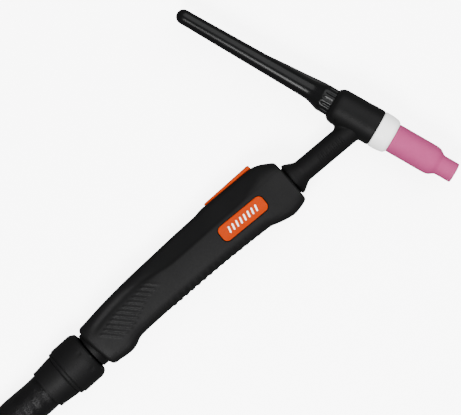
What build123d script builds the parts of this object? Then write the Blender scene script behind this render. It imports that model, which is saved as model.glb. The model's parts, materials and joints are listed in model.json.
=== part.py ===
from build123d import *

import math
import os

# An air-cooled TIG welding torch with its cable assembly, lying on its side on a bench.
#
# Row frame: +X runs along the electrode towards the arc, +Z is up from the bench, and the
# handle runs towards -Y. The origin is on the bench, under the centre of the torch's box.
# Every piece is first modelled with the torch's mid-plane at z = 0, in one of three frames:
#   head    X along the electrode towards the arc, origin where the head's centre line starts
#   neck    X from the handle's front face up to the head
#   handle  X from the cable end to the front face of the handle, Y towards the trigger

# ---- Driving dimensions, in millimetres and degrees ----
MID_HEIGHT = 16.6            # the torch's mid-plane above the bench
RUN = 0.2                    # running clearance between pieces that move

NECK_ANGLE = 70.0            # between the electrode and the neck
HANDLE_ANGLE = 71.6          # between the electrode and the handle
HANDLE_FRONT = (-6.9, -52.7)  # the handle's front face, in the head frame

ELECTRODE_RADIUS = 1.2       # a 2.4 mm tungsten
ELECTRODE_TIP_X = 62.0
ELECTRODE_LENGTH = 175.0

HEAD_RADIUS = 11.75
HEAD_REAR_X = -9.0
HEAD_FRONT_X = 22.3
GASKET_FRONT_X = 33.7
CORE_RADIUS = 8.0
CUP_RADIUS = 9.45
CUP_THROAT_RADIUS = 6.5
CUP_BORE_RADIUS = 4.75       # a size 6 cup
CUP_MOUTH_X = 78.0
CAP_TIP_X = -120.8
CAP_FLUTES = 14

NECK_RADIUS = 7.25
FLARE_RADIUS = 10.8
NECK_TUBE_RADIUS = 4.6
NECK_TUBE_BORE = 3.0

WALL = 2.4                   # the handle shells
HANDLE_REAR_X = -162.0
TRIGGER_REAR_X = -52.5
TRIGGER_FRONT_X = -15.8
TRIGGER_TOP_Y = 25.1
TRIGGER_HALF_WIDTH = 6.0
TRIGGER_PIN = (-50.0, 20.4)
PIN_RADIUS = 1.5
PLUNGER_X = -28.0
BADGE_SIZE = (34.5, 10.4)
BADGE_PLACE = (-40.0, 2.3)
BADGE_TILT = -2.1
BADGE_DEPTH = 0.8
SCREW_PLACES = ((-14.5, -10.5), (-86.0, -5.0), (-132.0, 13.0))

SWIVEL_X = -152.0
SWIVEL_Y = 3.3
BALL_RADIUS = 11.3
SEAT_RADIUS = 11.6
TAIL_RADIUS = 5.8
SOCKET_REAR_X = -164.6
COLLAR_FRONT_X = -165.2
COLLAR_REAR_X = -186.5
CLAMP_REAR_X = -201.0
TAIL_END_X = -188.0
CABLE_START_X = -188.3

CABLE_RADIUS = 12.0
COIL_CENTRE = (-360.0, -152.7)    # in the handle frame
COIL_TURN_RADII = (156.0, 132.0, 108.0)
LEAD_RADIUS = 2.75


def frame_at(point, angle):
    """A plane whose X runs at that angle to the electrode."""
    turn = math.radians(angle)
    return Plane(origin=(*point, 0), x_dir=(math.cos(turn), math.sin(turn), 0), z_dir=(0, 0, 1))


NECK = frame_at(HANDLE_FRONT, NECK_ANGLE)
HANDLE = frame_at(HANDLE_FRONT, HANDLE_ANGLE)


# ---- Shapes used by many pieces ----
def turned(*outline):
    """A solid turned about X, from (x, radius) or (x, radius, corner rounding) points."""
    corners = [point if len(point) == 3 else (*point, 0) for point in outline]
    edge = FilletPolyline(
        [(x, radius) for x, radius, _ in corners],
        radius=[rounding for _, _, rounding in corners],
        close=True,
    )
    return revolve(make_face(edge), Axis.X)


def shifted(shape, x=0.0, y=0.0, z=0.0):
    return Location((x, y, z)) * shape


def rod(x_low, x_high, radius, y=0.0, z=0.0):
    """A round bar along X."""
    return shifted(turned((x_low, 0), (x_low, radius), (x_high, radius), (x_high, 0)), 0, y, z)


def tube(x_low, x_high, radius, bore, y=0.0, z=0.0):
    """A round tube along X."""
    return shifted(turned((x_low, bore), (x_low, radius), (x_high, radius), (x_high, bore)), 0, y, z)


def peg(x, y, z_low, z_high, radius):
    """A round bar along Z."""
    return Location((x, y, z_low)) * extrude(Circle(radius), z_high - z_low)


def block(x_low, x_high, y_low, y_high, z_low, z_high):
    size = Box(x_high - x_low, y_high - y_low, z_high - z_low)
    return shifted(size, (x_low + x_high) / 2, (y_low + y_high) / 2, (z_low + z_high) / 2)


def around_x(shape, count):
    """Copies of a shape, evenly round the X axis."""
    return [Rot(X=360 * i / count) * shape for i in range(count)]


def rod_between(start, end, radius):
    """A round bar from one point to another."""
    path = Line(start, end)
    return sweep(Plane(origin=path @ 0, z_dir=path % 0) * Circle(radius), path)


# ---- Head: electrode, collet, cup, back cap ----
def electrode():
    rear = ELECTRODE_TIP_X - ELECTRODE_LENGTH
    return turned((rear, 0), (rear, ELECTRODE_RADIUS), (ELECTRODE_TIP_X - 6, ELECTRODE_RADIUS),
                  (ELECTRODE_TIP_X, 0))


def collet():
    """A split copper tube that grips the electrode."""
    bore = ELECTRODE_RADIUS + 0.15
    body = turned((1.3, bore), (1.3, 2.4), (4, 2.9), (50, 2.9), (56, 2.0), (56, bore))
    slit = block(24, 57, -0.3, 0.3, -4, 4)
    return body - slit - Rot(X=90) * slit


def collet_body():
    """Screws into the head, carries the cup and lets the gas out through four holes."""
    body = turned((10, 3.2), (10, 5.1), (24, 5.1), (24, 6.4), (46, 6.4), (48, 4.4), (58, 4.4),
                  (60, 3.2), (60, 1.6), (57.4, 1.6), (56.6, 3.2))
    ports = around_x(shifted(peg(0, 0, 0, 8, 0.9), 51.5), 4)
    return body - ports


def cup():
    """The ceramic gas cup, with its threaded socket as a plain bore."""
    return turned(
        (GASKET_FRONT_X + 0.1, 6.7), (GASKET_FRONT_X + 0.1, CUP_RADIUS, 0.6),
        (61.5, CUP_RADIUS, 3), (67.5, CUP_THROAT_RADIUS, 3), (CUP_MOUTH_X, CUP_THROAT_RADIUS, 0.5),
        (CUP_MOUTH_X, CUP_BORE_RADIUS), (66, CUP_BORE_RADIUS), (58, 6.7),
    )


def cup_gasket():
    return turned((HEAD_FRONT_X, 8.1), (HEAD_FRONT_X, 11.6, 0.4), (29, 11.6, 3), (GASKET_FRONT_X, 9.9, 0.6),
                  (GASKET_FRONT_X, 6.6), (24.1, 6.6), (24.1, 8.1))


def head_core():
    """The brass body that takes the collet body in front and the back cap behind."""
    body = turned((-6, 4.6), (-6, CORE_RADIUS), (24, CORE_RADIUS), (24, 5.2), (8, 5.2), (8, 3.3),
                  (2, 3.3), (2, 4.6))
    side_hole = NECK.location * rod(38, 60, NECK_TUBE_RADIUS)
    return body - side_hole


def back_cap():
    """The long back cap, with a fluted collar, one tapering fin and a screwed stub."""
    shell = turned(
        (CAP_TIP_X, 0), (CAP_TIP_X, 4.7, 4.2), (-108, 4.75), (-30, 5.75), (-24, 6.1), (-18.5, 8.3, 1),
        (HEAD_REAR_X - 0.3, 8.7), (HEAD_REAR_X - 0.3, 4.3), (1, 4.3), (1, 1.9),
        (CAP_TIP_X + 3, 1.9), (CAP_TIP_X + 3, 0),
    )
    outline = Polyline((-57, 4.6), (-22, 7.9), (-16, 8.2), (-16, 4.6), close=True)
    fin = extrude(make_face(outline), 0.9, both=True)
    flute = rod(-14.8, HEAD_REAR_X, 0.8, z=9.1)
    return shell + fin - around_x(flute, CAP_FLUTES)


def cap_o_ring():
    return shifted(Rot(Y=90) * Torus(5.9, 1.2), -7.5)


# ---- Neck ----
def head_mould():
    """The insulating mould round the head and down the neck, flared where it meets the handle."""
    barrel = turned((HEAD_REAR_X, CORE_RADIUS), (HEAD_REAR_X, HEAD_RADIUS, 3.2),
                    (HEAD_FRONT_X, HEAD_RADIUS, 0.8), (HEAD_FRONT_X, CORE_RADIUS))
    neck = turned((-14, NECK_TUBE_RADIUS), (-14, NECK_RADIUS), (-1.6, NECK_RADIUS), (-1.6, FLARE_RADIUS, 0.8),
                  (0.5, FLARE_RADIUS, 1), (6.5, NECK_RADIUS, 3), (54, NECK_RADIUS), (54, NECK_TUBE_RADIUS))
    neck = NECK.location * neck - rod(-20, 40, CORE_RADIUS)
    tube_hole = NECK.location * rod(30, 56, NECK_TUBE_RADIUS)
    return barrel + neck - tube_hole


def neck_tube():
    """The copper tube that carries current and gas from the handle to the head."""
    whole = NECK.location * tube(-26, 50.5, NECK_TUBE_RADIUS, NECK_TUBE_BORE)
    return whole - rod(-20, 40, 5.3)


def neck_nut():
    hexagon = Rot(Y=90) * extrude(RegularPolygon(6.2, 6), 9)
    nut = shifted(hexagon, -35) + rod(-38, -35, 5.4)
    return NECK.location * (nut - rod(-26, -20, NECK_TUBE_RADIUS) - rod(-40, -20, 2.0))


# ---- Handle shells ----
# One row for each station along the handle: x, spine height, crease height, keel height,
# half width at the side, half width of the spine, and keel rounding.
STATIONS = (
    (-2.5, 14.4, 9.0, -13.2, 13.0, 9.5, 5.5),
    (-6.0, 17.6, 12.0, -15.6, 14.2, 9.8, 6.0),
    (-14.0, 22.2, 15.5, -17.0, 15.9, 9.5, 6.5),
    (-20.0, 22.9, 12.4, -16.0, 16.4, 9.0, 6.5),
    (-30.0, 23.3, 10.4, -12.8, 16.6, 8.6, 6.5),
    (-52.0, 23.9, 10.0, -11.4, 16.6, 8.6, 6.5),
    (-80.0, 23.0, 10.0, -10.2, 16.3, 9.0, 6.5),
    (-108.0, 22.3, 13.4, -9.9, 15.9, 9.6, 6.5),
    (-124.0, 21.7, 17.0, -9.9, 15.9, 11.5, 6.5),
    (-137.0, 20.9, 16.6, -10.9, 16.0, 12.0, 6.5),
    (-143.0, 20.3, 16.0, -13.4, 16.0, 12.0, 6.5),
    (-156.0, 18.8, 14.0, -12.4, 15.2, 11.5, 6.5),
    (HANDLE_REAR_X, 16.6, 12.0, -10.0, 13.4, 9.5, 6.0),
)


def station_face(x, spine, crease, keel, side, spine_half, keel_rounding, inset=0.0):
    """The handle's section at one station, drawn in by an inset."""
    side -= inset
    spine_half -= 0.6 * inset
    half = [(side, keel + inset), (side, crease), (spine_half, spine - inset)]
    corners = half + [(-across, up) for across, up in reversed(half)]
    rounding = [max(keel_rounding - inset, 2.0), 2.5, 4.0]
    edge = FilletPolyline(corners, radius=rounding + rounding[::-1], close=True)
    across_handle = Plane(origin=(x, 0, 0), x_dir=(0, 0, 1), z_dir=(-1, 0, 0))
    return across_handle * make_face(edge)


def handle_envelope(inset=0.0, rear_x=None):
    """The whole handle as one solid, or the space inside it."""
    stations = [s for s in STATIONS if rear_x is None or s[0] > rear_x]
    if inset:
        stations = stations[1:]
    return loft([station_face(*s, inset=inset) for s in stations], ruled=True)


def swivel(shape):
    """Moves a piece turned about X to the swivel's axis."""
    return shifted(shape, 0, SWIVEL_Y)


def swivel_space():
    """The space in the shells for the ball's seat, the front of the ball and the hose."""
    def on_ball(x):
        return x, math.sqrt(SEAT_RADIUS ** 2 - (x - SWIVEL_X) ** 2)

    front, bore_x, bore = -149.8, -144.2, -130.0
    rear = HANDLE_REAR_X - 1
    ring_rear, ring_radius = -158.7, 13.05
    outline = Polyline((rear, 0), (rear, 12.2), (ring_rear, 12.2), (ring_rear, ring_radius),
                       (front, ring_radius), on_ball(front))
    outline += ThreePointArc(on_ball(front), on_ball((front + bore_x) / 2), on_ball(bore_x))
    outline += Polyline(on_ball(bore_x), (bore, on_ball(bore_x)[1]), (bore, 0), (rear, 0))
    return swivel(revolve(make_face(outline), Axis.X))


def handle_body():
    """Both shells as one piece, hollow, with the trigger slot and the swivel's seat."""
    body = handle_envelope() - handle_envelope(inset=WALL, rear_x=-140)
    body -= swivel_space()
    body -= Rot(Z=NECK_ANGLE - HANDLE_ANGLE) * rod(-20, 5, NECK_RADIUS + 0.05)
    body -= block(TRIGGER_REAR_X - 0.6, TRIGGER_FRONT_X + 0.6, 15, 30,
                  -TRIGGER_HALF_WIDTH - 0.4, TRIGGER_HALF_WIDTH + 0.4)
    body -= peg(*TRIGGER_PIN, -9, 9, PIN_RADIUS)
    body -= badge_block(z_low=STATIONS[4][4] - BADGE_DEPTH, z_high=20, margin=0.0)
    return body


def screw_boss(x, y, z_low, z_high):
    return peg(x, y, z_low, z_high, 3.1)


def half_space(sign):
    """Everything on one side of the mid-plane."""
    return block(-200, 20, -40, 40, *sorted((0, sign * 30)))


def shell_left():
    """The shell that lies up, with the badge and the bosses that the screws bite into."""
    inner = handle_envelope() & half_space(1)
    bosses = [screw_boss(x, y, 0, 15.2) & inner for x, y in SCREW_PLACES]
    shell = (handle_body() & half_space(1)) + bosses
    return shell - [peg(x, y, -1, 9, 1.2) for x, y in SCREW_PLACES]


def shell_right():
    """The shell that lies on the bench, with the screws' counterbores."""
    inner = handle_envelope() & half_space(-1)
    bosses = [screw_boss(x, y, -15.2, 0) & inner for x, y in SCREW_PLACES]
    shell = (handle_body() & half_space(-1)) + bosses
    shell -= [peg(x, y, -20, -11.5, 2.9) for x, y in SCREW_PLACES]
    return shell - [peg(x, y, -12, 1, 1.5) for x, y in SCREW_PLACES]


def shell_screws():
    """Three countersunk self-tapping screws, side by side in one node."""
    head = peg(0, 0, -13.8, -11.6, 2.7) - block(-2, 2, -0.3, 0.3, -14, -13)
    screw = head + peg(0, 0, -11.7, 7.5, 1.15)
    return Compound([shifted(screw, x, y) for x, y in SCREW_PLACES])


def badge_block(z_low, z_high, margin):
    """The badge's outline, extruded, at its place on the side of the handle."""
    width, height = (side - 2 * margin for side in BADGE_SIZE)
    plate = extrude(RectangleRounded(width, height, 3.3 - margin), z_high - z_low)
    return Location((*BADGE_PLACE, z_low)) * Rot(Z=BADGE_TILT) * plate


def badge():
    z_high = STATIONS[4][4]
    return badge_block(z_high - BADGE_DEPTH, z_high, margin=0.0)


# ---- Trigger and switch ----
def trigger():
    """A rocking button that pivots on its pin at the cable end."""
    outline = FilletPolyline(
        (TRIGGER_REAR_X, 18.6), (TRIGGER_REAR_X, TRIGGER_TOP_Y - 0.2), (TRIGGER_FRONT_X, TRIGGER_TOP_Y),
        (TRIGGER_FRONT_X, 19.0),
        radius=[0, 1.0, 1.5, 0], close=True,
    )
    body = extrude(make_face(outline), TRIGGER_HALF_WIDTH, both=True)
    pocket = block(-45, -18, 18, 22.5, -4.6, 4.6)
    foot = block(PLUNGER_X - 2, PLUNGER_X + 2, 18.9, 23, -2.5, 2.5)
    hole = peg(*TRIGGER_PIN, -9, 9, PIN_RADIUS + 0.08)
    return body - pocket + foot - hole


def trigger_pin():
    return peg(*TRIGGER_PIN, -9, 9, PIN_RADIUS)


def switch_body():
    case = block(-40, -19, 7.5, 14.5, -4.5, 4.5)
    return case - Location((PLUNGER_X, 9, 0)) * Rot(X=-90) * extrude(Circle(1.8), 7)


def switch_plunger():
    stem = Rot(X=-90) * extrude(Circle(1.5), 7.6)
    cap = shifted(Rot(X=-90) * extrude(Circle(2.2), 1.0), y=6.6)
    return shifted(stem + cap, PLUNGER_X, 11)


def switch_spring():
    """A coil spring under the plunger's cap."""
    wire = Helix(pitch=0.75, height=2.4, radius=2.0)
    coil = sweep(Plane(origin=wire @ 0, z_dir=wire % 0) * Circle(0.2), wire, is_frenet=True)
    return Location((PLUNGER_X, 14.8, 0)) * Rot(X=-90) * coil


def switch_terminals():
    blade = block(-43, -40, 9, 12, -0.3, 0.3)
    return Compound([shifted(blade, z=z) for z in (-3, 0, 3)])


def switch_wires():
    """Two thin insulated wires from the switch back to the swivel."""
    wires = []
    for side in (1, -1):
        path = FilletPolyline((-43.3, 10.5, 3 * side), (-56, 7.2, 6 * side), (-100, 7.6, 6.3 * side),
                              (-136, 8.2, 3.6 * side), radius=[20, 60])
        wires.append(sweep(Plane(origin=path @ 0, z_dir=path % 0) * Circle(0.9), path))
    return Compound(wires)


# ---- Hose, swivel and strain relief ----
def front_hose():
    """The power and gas hose, from the neck's nut to the middle of the swivel."""
    nut_end = (-38.0, -38.0 * math.sin(math.radians(NECK_ANGLE - HANDLE_ANGLE)), 0)
    core = rod_between(nut_end, (-134, SWIVEL_Y, 0), 3.4)
    return core + rod(-151.6, -134, 3.4, SWIVEL_Y)


def hose_ferrule():
    """A crimped sleeve on the hose just in front of the swivel."""
    return tube(-133, -122, 5.2, 3.9, SWIVEL_Y - 0.15)


def socket_ring():
    """The ball's seat, held between the shells and showing as a ring behind them."""
    ring = turned((SOCKET_REAR_X, 10), (SOCKET_REAR_X, 12.1, 0.5), (-158.6, 12.1), (-158.6, 12.95),
                  (-149.9, 12.95), (-149.9, 10))
    return swivel(ring - shifted(Sphere(SEAT_RADIUS), SWIVEL_X))


def swivel_ball():
    """A ball with a hollow tail, free to tilt in the handle."""
    ball = shifted(Sphere(BALL_RADIUS), SWIVEL_X) + rod(TAIL_END_X, SWIVEL_X, TAIL_RADIUS)
    ball += tube(TAIL_END_X, -186.6, 8.0, TAIL_RADIUS - 0.5)
    throat = turned((-153, 0), (-153, 4.4), (-150.5, 4.4), (-139, 8.2), (-139, 0))
    return swivel(ball - throat - rod(-190, -150, 4.3))


def rear_hose():
    """The hose's other end, inside the ball's tail."""
    return rod(TAIL_END_X, -152.8, 3.9, SWIVEL_Y)


def collar():
    """The turning collar round the tail, hollowed in front to clear the socket ring."""
    collar_ring = turned(
        (COLLAR_REAR_X, TAIL_RADIUS + RUN), (COLLAR_REAR_X, 15.7, 0.8), (-184.2, 15.7), (-184.2, 15.9),
        (-183.8, 15.9), (-183.8, 16.35, 0.4), (COLLAR_FRONT_X, 16.35, 3.4), (COLLAR_FRONT_X, 12.75),
        (-170, 12.75), (-170, TAIL_RADIUS + RUN),
    )
    return swivel(collar_ring)


def clamp_ring():
    """The tapered ring that closes on the cable's jacket."""
    return swivel(turned(
        (-186.6, 8.3), (-186.6, 14.2), (-188, 14.6, 0.6), (-200, 13.2), (CLAMP_REAR_X, 13.3, 0.4),
        (CLAMP_REAR_X, CABLE_RADIUS + 0.25), (-188.2, CABLE_RADIUS + 0.25), (-188.2, 8.3),
    ))


# ---- Cable assembly ----
def arc_path(points):
    """Straight runs joined by arcs as large as the runs allow, and the arcs' radii."""
    corners = [Vector(*p) for p in points]
    radii = []
    for before, at, after in zip(corners, corners[1:], corners[2:]):
        half_turn = math.radians((at - before).get_angle(after - at)) / 2
        shorter = min((at - before).length, (after - at).length)
        radii.append(0.45 * shorter / math.tan(half_turn))
    return FilletPolyline(points, radius=radii), radii


def cord(name, points, radius):
    """A plain tube along a route, with its volume compared with section times length."""
    path, radii = arc_path(points)
    solid = sweep(Plane(origin=path @ 0, z_dir=path % 0) * Circle(radius), path)
    share = solid.volume / (math.pi * radius ** 2 * path.length)
    print(f"{name}: length {path.length:.0f}, volume share {share:.4f},",
          f"smallest radius {min(radii):.0f}")
    return solid


def coil_point(turn_degrees, radius, height):
    """A point of the coil, turned on from where the cable joins it."""
    angle = math.radians(90 + turn_degrees)
    return (COIL_CENTRE[0] + radius * math.cos(angle), COIL_CENTRE[1] + radius * math.sin(angle), height)


BENCH = -MID_HEIGHT               # the bench, in the handle frame
LYING = BENCH + CABLE_RADIUS      # the middle of the cable where it lies on the bench

RUN_ROUTE = (
    (CABLE_START_X, SWIVEL_Y, 0.0),
    (-224.0, SWIVEL_Y, 0.0),
    (-262.0, 3.6, LYING + 1.7),
    (-305.0, 3.0, LYING),
    (-352.0, 3.3, LYING),
)

# From the top of the coil, over its outer turn, down to the bench and out to the plug.
TAIL_ROUTE = (
    coil_point(-12.0, 152.5, LYING + 24),
    coil_point(0.0, 156.0, LYING + 24.5),
    coil_point(14.0, 159.0, LYING + 24.5),
    coil_point(28.0, 168.0, LYING + 23.0),
    coil_point(42.0, 179.0, LYING + 15.5),
    coil_point(56.0, 186.0, LYING + 5.0),
    coil_point(70.0, 187.0, LYING + 0.3),
    coil_point(84.0, 186.5, LYING),
    (-546.0, -180.0, LYING + 1.0),
    (-545.0, -205.0, LYING + 3.5),
    (-545.0, -229.0, LYING + 3.5),
)


def cable_run():
    return cord("cable_run", RUN_ROUTE, CABLE_RADIUS)


def cable_coil():
    """The outer shape of the coil: three turns side by side, and one lying on them."""
    inner, outer = COIL_TURN_RADII[-1] - CABLE_RADIUS, COIL_TURN_RADII[0] + CABLE_RADIUS
    lower = Circle(outer) - Circle(inner)
    upper = Circle(COIL_TURN_RADII[1] + CABLE_RADIUS) - Circle(COIL_TURN_RADII[1] - CABLE_RADIUS)
    thick = 2 * CABLE_RADIUS
    solid = extrude(lower, thick) + shifted(extrude(upper, thick), z=thick)
    return Location((*COIL_CENTRE, BENCH)) * solid


def cable_tail():
    return cord("cable_tail", TAIL_ROUTE, CABLE_RADIUS)


def coil_tie():
    """A strap round the bundle of turns, on the side away from the torch."""
    def strap_outline(out):
        low, high = COIL_TURN_RADII[-1] - CABLE_RADIUS, COIL_TURN_RADII[0] + CABLE_RADIUS
        mid_low, mid_high = COIL_TURN_RADII[1] - CABLE_RADIUS, COIL_TURN_RADII[1] + CABLE_RADIUS
        return [(low - out, 0.0), (high + out, 0.0), (high + out, 24.0), (mid_high + out, 48.0 + out),
                (mid_low - out, 48.0 + out), (low - out, 24.0)]

    outer = make_face(Polyline(strap_outline(2.0), close=True))
    inner = make_face(Polyline([(x, min(max(z, 1.0), 48.4)) for x, z in strap_outline(0.4)], close=True))
    upright = Plane(origin=(0, 0, 0), x_dir=(1, 0, 0), z_dir=(0, -1, 0))
    strap = extrude(upright * (outer - inner), 12.5, both=True)
    return Location((*COIL_CENTRE, BENCH)) * Rot(Z=-62) * strap


PLUG = Plane(origin=TAIL_ROUTE[-1], x_dir=(0, -1, 0), z_dir=(0, 0, 1))
PORT = Location((-10, 6, -9.5)) * Rot(Z=40)    # where the control lead leaves the boot


def end_boot():
    """The tapered rubber strain relief behind the power plug, with a side port."""
    boot = turned((-26, 0), (-26, 13.2, 0.5), (0, 14.2), (10, 15.0, 1), (10, 0))
    port = PORT * rod(2, 17, 4.2)
    return boot + port - rod(-30, 0.2, CABLE_RADIUS + 0.05) - PORT * rod(7.9, 20, LEAD_RADIUS + 0.05)


def power_plug_body():
    """The insulating body of the bayonet power plug, with grip grooves."""
    body = turned((10, 0), (10, 15.4, 1.5), (52, 15.4, 1.5), (52, 11.2), (60, 11.2), (60, 9.3),
                  (48, 9.3), (48, 0))
    return body - around_x(block(18, 44, -0.9, 0.9, 14.6, 17), 12)


def power_plug_pin():
    """The brass pin, bored for the gas, with its bayonet lug on a slimmer nose."""
    pin = turned((48, 2.2), (48, 9.2), (58, 9.2), (58, 6.5), (73, 6.5, 0.4), (73, 4.9),
                 (84, 4.9, 0.8), (84, 2.2))
    return pin + block(76, 82, -2.2, 2.2, 4.0, 6.0)


LEAD_ROUTE = (
    (-533.9, -225.1, BENCH + 6.0),
    (-521.0, -240.5, BENCH + 5.9),
    (-508.0, -268.0, BENCH + 3.2),
    (-499.0, -298.0, BENCH + LEAD_RADIUS),
    (-482.0, -320.0, BENCH + LEAD_RADIUS),
    (-460.0, -331.0, BENCH + 3.6),
    (-440.0, -333.2, BENCH + 6.6),
    (-420.0, -333.0, BENCH + 8.2),
    (-398.0, -333.0, BENCH + 8.2),
)
CONTROL_PLUG = Plane(origin=LEAD_ROUTE[-1], x_dir=(1, 0, 0), z_dir=(0, 0, 1))


def control_lead():
    return cord("control_lead", LEAD_ROUTE, LEAD_RADIUS)


def control_plug_shell():
    gland = tube(-10, 0, 4.6, LEAD_RADIUS + 0.05)
    shell = turned((0, 0), (0, 7.8, 1.2), (12, 7.8, 0.5), (12, 5.9), (24, 5.9), (24, 5.0),
                   (14, 5.0), (14, 0))
    return gland + shell


def control_plug_insert():
    """The insulating disc with its contacts."""
    pins = [Rot(X=72 * i) * rod(20, 27, 0.6, z=3.0) for i in range(5)]
    return rod(14, 22, 4.95) + pins


def control_plug_ring():
    """The coupling ring, free to turn on the shell."""
    ring = tube(12.4, 30, 8.0, 5.9 + RUN)
    return ring - around_x(block(13.5, 29, -0.5, 0.5, 7.5, 9), 18)


# ---- The whole torch ----
def torch_nodes():
    """The torch itself, with its mid-plane at z = 0, in the head frame."""
    in_head = {
        "electrode": electrode(),
        "collet": collet(),
        "collet_body": collet_body(),
        "cup": cup(),
        "cup_gasket": cup_gasket(),
        "head_core": head_core(),
        "back_cap": back_cap(),
        "cap_o_ring": cap_o_ring(),
        "head_mould": head_mould(),
        "neck_tube": neck_tube(),
        "neck_nut": neck_nut(),
    }
    in_handle = {
        "shell_left": shell_left(),
        "shell_right": shell_right(),
        "shell_screws": shell_screws(),
        "badge": badge(),
        "trigger": trigger(),
        "trigger_pin": trigger_pin(),
        "switch_body": switch_body(),
        "switch_plunger": switch_plunger(),
        "switch_spring": switch_spring(),
        "switch_terminals": switch_terminals(),
        "switch_wires": switch_wires(),
        "front_hose": front_hose(),
        "hose_ferrule": hose_ferrule(),
        "socket_ring": socket_ring(),
        "swivel_ball": swivel_ball(),
        "rear_hose": rear_hose(),
        "collar": collar(),
        "clamp_ring": clamp_ring(),
    }
    return in_head | {name: HANDLE.location * shape for name, shape in in_handle.items()}


def cord_nodes():
    """The cable assembly and what is on it, in the head frame."""
    lying = {
        "cable_run": cable_run(),
        "cable_coil": cable_coil(),
        "cable_tail": cable_tail(),
        "coil_tie": coil_tie(),
        "end_boot": PLUG.location * end_boot(),
        "power_plug_body": PLUG.location * power_plug_body(),
        "power_plug_pin": PLUG.location * power_plug_pin(),
        "control_lead": control_lead(),
        "control_plug_shell": CONTROL_PLUG.location * control_plug_shell(),
        "control_plug_insert": CONTROL_PLUG.location * control_plug_insert(),
        "control_plug_ring": CONTROL_PLUG.location * control_plug_ring(),
    }
    return {name: HANDLE.location * shape for name, shape in lying.items()}


def row_shift(torch):
    """The move that puts the origin on the bench, under the centre of the torch's box."""
    boxes = [shape.bounding_box() for shape in torch.values()]
    middle = [(min(b.min.X for b in boxes) + max(b.max.X for b in boxes)) / 2,
              (min(b.min.Y for b in boxes) + max(b.max.Y for b in boxes)) / 2]
    return Location((-middle[0], -middle[1], MID_HEIGHT))


def single(shape):
    """One solid, or a compound of the solids that a node groups."""
    solids = Compound([shape]).solids() if not isinstance(shape, Solid) else [shape]
    return solids[0] if len(solids) == 1 else Compound(solids)


TORCH = torch_nodes()
SHIFT = row_shift(TORCH)
os.makedirs("parts", exist_ok=True)
for name, shape in (TORCH | cord_nodes()).items():
    export_step(single(SHIFT * shape), f"parts/{name}.step")
print("row shift", [round(c, 3) for c in SHIFT.position])
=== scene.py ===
# A TIG torch lying on a bench, with its cable coiled beside it.
import json
import math

import bmesh
import bpy
from mathutils import Matrix, Vector, noise


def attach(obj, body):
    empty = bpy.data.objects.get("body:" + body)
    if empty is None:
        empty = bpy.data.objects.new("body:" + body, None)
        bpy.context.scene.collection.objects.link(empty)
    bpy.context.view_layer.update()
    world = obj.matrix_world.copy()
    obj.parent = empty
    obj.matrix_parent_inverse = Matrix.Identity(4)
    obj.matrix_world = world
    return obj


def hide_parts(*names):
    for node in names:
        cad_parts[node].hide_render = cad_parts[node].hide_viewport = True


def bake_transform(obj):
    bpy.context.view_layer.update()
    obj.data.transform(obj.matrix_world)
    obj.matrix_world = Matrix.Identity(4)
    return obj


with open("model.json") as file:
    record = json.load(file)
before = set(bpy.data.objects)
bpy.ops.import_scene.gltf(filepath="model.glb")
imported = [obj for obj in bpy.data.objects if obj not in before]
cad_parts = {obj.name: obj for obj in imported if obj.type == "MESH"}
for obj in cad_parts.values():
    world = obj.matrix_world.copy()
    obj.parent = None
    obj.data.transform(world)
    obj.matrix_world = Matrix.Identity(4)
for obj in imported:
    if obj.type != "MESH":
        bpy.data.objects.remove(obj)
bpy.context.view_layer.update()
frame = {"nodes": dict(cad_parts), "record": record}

# ---- The torch's three frames, found from its joints ----
MM = 0.001
JOINTS = {joint["name"]: joint for joint in frame["record"]["behaviour"]["joints"]}
BALL = Vector(JOINTS["swivel_tilt"]["pos_m"])
HEAD_ORIGIN = Vector(JOINTS["cap_unscrew"]["pos_m"])
HANDLE_AXIS = Vector(JOINTS["swivel_turn"]["axis"])
SWIVEL_X, SWIVEL_Y = -152.0, 3.3     # the ball in the handle frame, in mm
NECK_ANGLE = math.radians(70)
MID = BALL.z / MM                    # the torch's mid-plane above the bench, in mm


def local_frame(origin, axis):
    """A matrix from millimetres, with X along an axis that lies level, to the row frame."""
    x = Vector((axis[0], axis[1], 0)).normalized()
    y = Vector((-x.y, x.x, 0))
    turn = Matrix((x, y, Vector((0, 0, 1)))).transposed().to_4x4()
    return Matrix.Translation(origin) @ turn @ Matrix.Scale(MM, 4)


HEAD = local_frame(HEAD_ORIGIN, (1, 0))
HANDLE = local_frame(BALL, HANDLE_AXIS) @ Matrix.Translation((-SWIVEL_X, -SWIVEL_Y, 0))
NECK = local_frame(HANDLE.translation, (math.cos(NECK_ANGLE), math.sin(NECK_ANGLE)))
SWIVEL = HANDLE @ Matrix.Translation((0, SWIVEL_Y, 0))


def at(matrix, x, y=0.0, z=0.0):
    """A point of a local frame, in the row frame."""
    return matrix @ Vector((x, y, z))


# ---- Camera ----
def make_camera():
    """Looks straight down, with the electrode's axis falling 30 degrees to the right."""
    data = bpy.data.cameras.new("camera")
    camera = bpy.data.objects.new("camera", data)
    bpy.context.collection.objects.link(camera)
    width, distance = 0.2858, 1.5     # of the bench that it takes in, and above the bench
    data.sensor_width = 36
    data.lens = 36 * distance / width
    aim = at(HEAD, -31.7, -87.8)
    camera.location = aim + Vector((0, 0, distance))
    camera.rotation_euler = (0, 0, math.radians(30))
    bpy.context.scene.camera = camera


make_camera()


# ---- Mesh helpers ----
def turns(around):
    """Evenly spaced angles round a circle."""
    return [2 * math.pi * i / around for i in range(around)]


def make_object(name, points, faces, matrix, smooth_angle=35):
    """A mesh from points in a local frame."""
    mesh = bpy.data.meshes.new(name)
    mesh.from_pydata([matrix @ Vector(p) for p in points], [], faces)
    return finished(name, mesh, smooth_angle)


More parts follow.
